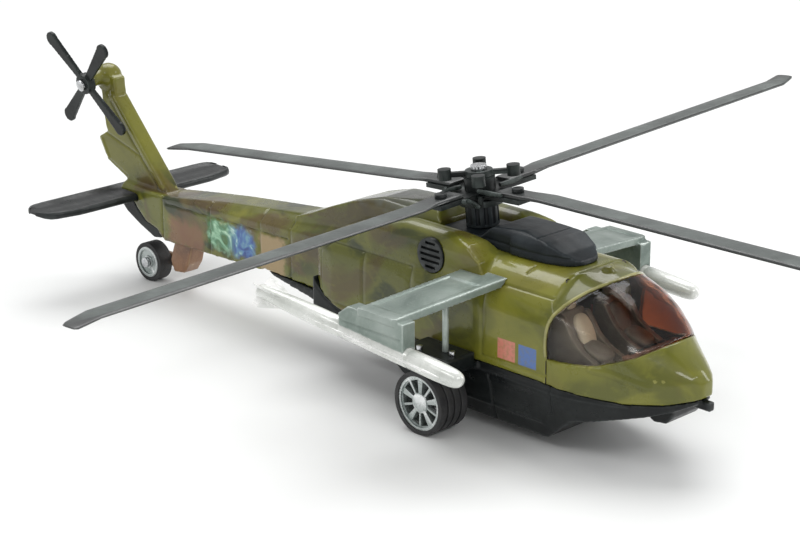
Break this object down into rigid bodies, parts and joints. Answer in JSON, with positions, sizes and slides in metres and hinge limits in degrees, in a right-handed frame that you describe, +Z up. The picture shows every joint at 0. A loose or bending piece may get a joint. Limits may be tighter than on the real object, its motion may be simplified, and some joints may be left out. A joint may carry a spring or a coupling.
{
  "type": "toy helicopter",
  "caption": "Military-style toy helicopter with a free-spinning main rotor and tail rotor, stub wings with stores, a clear bubble cockpit and pull-back wheels.",
  "frame": {"origin": "centre of the bounding box in X and Y, on the ground under the wheels", "axes": "+X towards the nose, +Y to the left (port) side, +Z up; the rotor hub stands 22.4 mm ahead of the origin"},
  "size_m": [0.325, 0.2801, 0.0803],
  "materials": {
    "body_paint": "glossy olive green lacquer with brown and dark green mottling",
    "black_plastic": "semi-gloss black plastic",
    "slate_plastic": "dark blue-grey plastic",
    "amber_glass": "amber-brown tinted clear plastic",
    "cream_plastic": "cream plastic",
    "seat_grey": "warm light grey plastic",
    "dash_brown": "dusty brown plastic",
    "wing_silver": "silver-grey metallic plastic",
    "missile_silver": "pearl silver plastic",
    "rotor_plastic": "dark grey-green plastic with a soft sheen",
    "tail_brown": "brown olive lacquer",
    "steel": "bright turned steel",
    "rim_silver": "metallised silver plastic",
    "tyre": "soft black vinyl",
    "gear_white": "natural white acetal"
  },
  "bodies": {
    "airframe": {"cabin_shell": "body_paint", "nose_shell": "body_paint", "windshield": "amber_glass", "roof_cowling": "slate_plastic", "exhaust_left": "black_plastic", "exhaust_right": "black_plastic", "chassis": "black_plastic", "cockpit_floor": "black_plastic", "seat_left": "cream_plastic", "seat_right": "seat_grey", "dash_panel": "dash_brown", "wing_left": "wing_silver", "wing_right": "wing_silver", "strut_left": "wing_silver", "strut_right": "wing_silver", "missile_left": "missile_silver", "missile_right": "missile_silver", "gear_studs": "steel", "tail_cap": "black_plastic", "stabilator": "black_plastic", "tail_leg": "tail_brown", "tail_axle": "steel", "tail_rotor_pin": "steel", "mast_sleeve": "slate_plastic", "motor_case": "slate_plastic", "motor_lid": "slate_plastic", "mainspring": "steel", "chassis_screws": "steel"},
    "main_rotor": {"mast_shaft": "steel", "rotor_hub": "rotor_plastic", "absorber_star": "rotor_plastic", "rotor_cap": "steel", "blade_front": "rotor_plastic", "blade_left": "rotor_plastic", "blade_rear": "rotor_plastic", "blade_right": "rotor_plastic", "blade_bolts": "black_plastic"},
    "tail_rotor": {"tail_rotor": "rotor_plastic"},
    "main_wheels": {"main_axle": "steel", "axle_pinion": "gear_white", "rim_left": "rim_silver", "rim_right": "rim_silver", "tyre_left": "tyre", "tyre_right": "tyre"},
    "drive_gear": {"spring_gear": "gear_white", "spring_arbor": "steel"},
    "tail_wheel": {"tail_wheel_hub": "rim_silver", "tail_tyre": "tyre"}
  },
  "joints": [
    {"name": "main_rotor_spin", "type": "hinge", "parent": "airframe", "child": "main_rotor", "pos_m": [0.02236, 0, 0.0618], "axis": [-0.0749, -0.0488, 0.996], "continuous": true},
    {"name": "tail_rotor_spin", "type": "hinge", "parent": "airframe", "child": "tail_rotor", "pos_m": [-0.14664, -0.0092, 0.0646], "axis": [0, 0.9781, 0.2079], "continuous": true},
    {"name": "main_wheel_spin", "type": "hinge", "parent": "airframe", "child": "main_wheels", "pos_m": [0.03056, 0, 0.009], "axis": [0, 1, 0], "continuous": true},
    {"name": "drive_gear_spin", "type": "hinge", "parent": "airframe", "child": "drive_gear", "pos_m": [0.02317, 0, 0.0132], "axis": [0, 1, 0], "continuous": true},
    {"name": "tail_wheel_spin", "type": "hinge", "parent": "airframe", "child": "tail_wheel", "pos_m": [-0.12564, 0, 0.0065], "axis": [0, 1, 0], "continuous": true}
  ],
  "couplings": [
    {"joint": "drive_gear_spin", "follows": "main_wheel_spin", "ratio": -0.41667}
  ]
}
